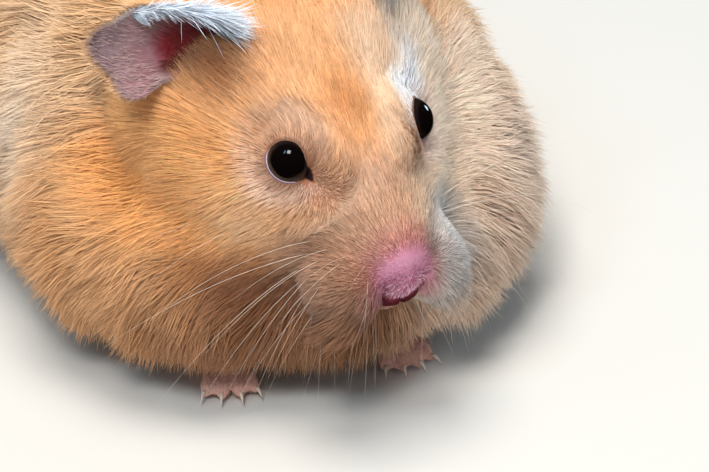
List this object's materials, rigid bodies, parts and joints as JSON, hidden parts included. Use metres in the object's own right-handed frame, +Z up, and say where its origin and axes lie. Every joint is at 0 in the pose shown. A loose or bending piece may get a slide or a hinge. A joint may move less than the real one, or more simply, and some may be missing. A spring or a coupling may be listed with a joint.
{
  "type": "syrian hamster model",
  "caption": "Still life-size model of a Syrian hamster crouched on all fours, head lowered and turned to its left, with a deep golden coat.",
  "frame": {"origin": "on the floor, under the middle of the whole animal's box", "axes": "-Y the way the shoulders face (nose end), +X the animal's left, +Z up"},
  "size_m": [0.085, 0.1266, 0.0634],
  "materials": {
    "coat": "long soft golden hair",
    "ear_skin": "thin greyish pink skin with fine pale hair",
    "bare_skin": "bare pink skin",
    "eye": "wet and glossy, nearly black"
  },
  "bodies": {
    "root": {"head": "coat", "neck": "coat", "trunk": "coat", "tail": "bare_skin", "foreleg_right": "coat", "foreleg_left": "coat", "hindleg_right": "coat", "hindleg_left": "coat", "forepaw_right": "bare_skin", "forepaw_left": "bare_skin", "hindfoot_right": "bare_skin", "hindfoot_left": "bare_skin", "ear_right": "ear_skin", "ear_left": "ear_skin", "nose": "bare_skin", "eye_right": "eye", "eye_left": "eye"}
  },
  "joints": []
}
